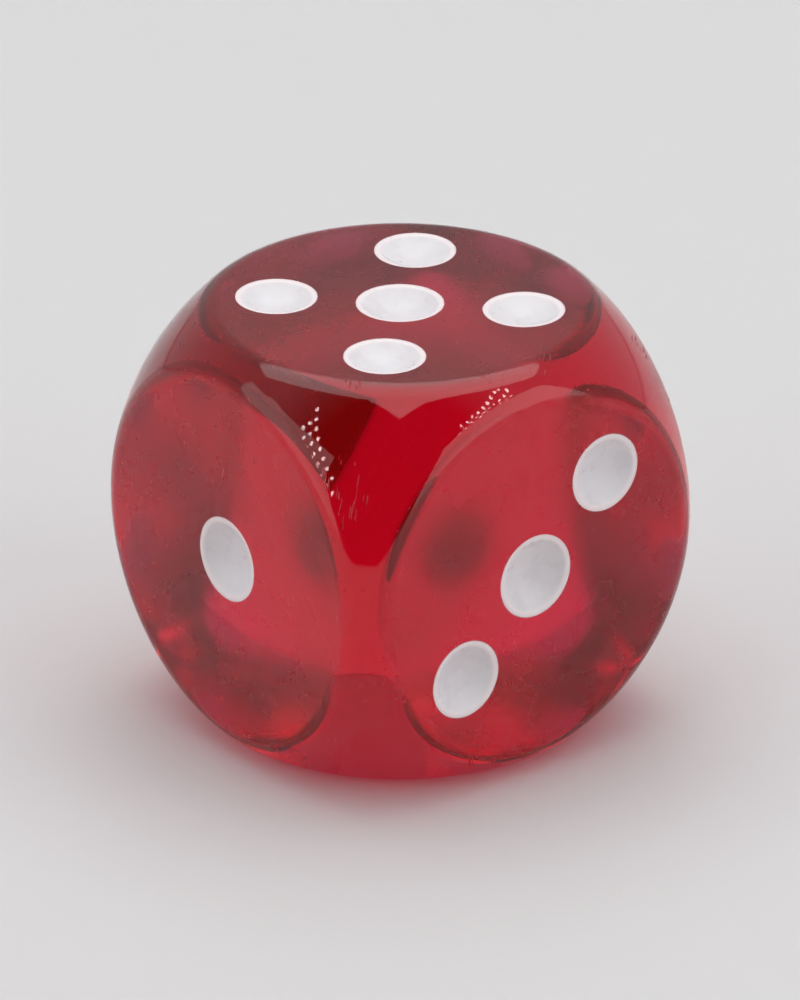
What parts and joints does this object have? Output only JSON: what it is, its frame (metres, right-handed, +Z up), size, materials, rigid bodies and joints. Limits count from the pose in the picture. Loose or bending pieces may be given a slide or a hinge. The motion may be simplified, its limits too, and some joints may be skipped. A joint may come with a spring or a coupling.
{
  "type": "game die",
  "caption": "Translucent six-sided game die with ball-rounded corners and white paint in dished round pips.",
  "frame": {"origin": "middle of the face that the die stands on, the 2", "axes": "+Z up through the 5; the 1 faces -Y, the 3 faces +X, the 4 faces -X and the 6 faces +Y"},
  "size_m": [0.012, 0.012, 0.012],
  "materials": {
    "red_plastic": "translucent, tumble-polished, with fine handling marks",
    "white_paint": "satin enamel that has dried into a shallow dish"
  },
  "bodies": {
    "root": {"body": "red_plastic", "one_pip_1": "white_paint", "two_pip_1": "white_paint", "two_pip_2": "white_paint", "three_pip_1": "white_paint", "three_pip_2": "white_paint", "three_pip_3": "white_paint", "four_pip_1": "white_paint", "four_pip_2": "white_paint", "four_pip_3": "white_paint", "four_pip_4": "white_paint", "five_pip_1": "white_paint", "five_pip_2": "white_paint", "five_pip_3": "white_paint", "five_pip_4": "white_paint", "five_pip_5": "white_paint", "six_pip_1": "white_paint", "six_pip_2": "white_paint", "six_pip_3": "white_paint", "six_pip_4": "white_paint", "six_pip_5": "white_paint", "six_pip_6": "white_paint"}
  },
  "joints": []
}
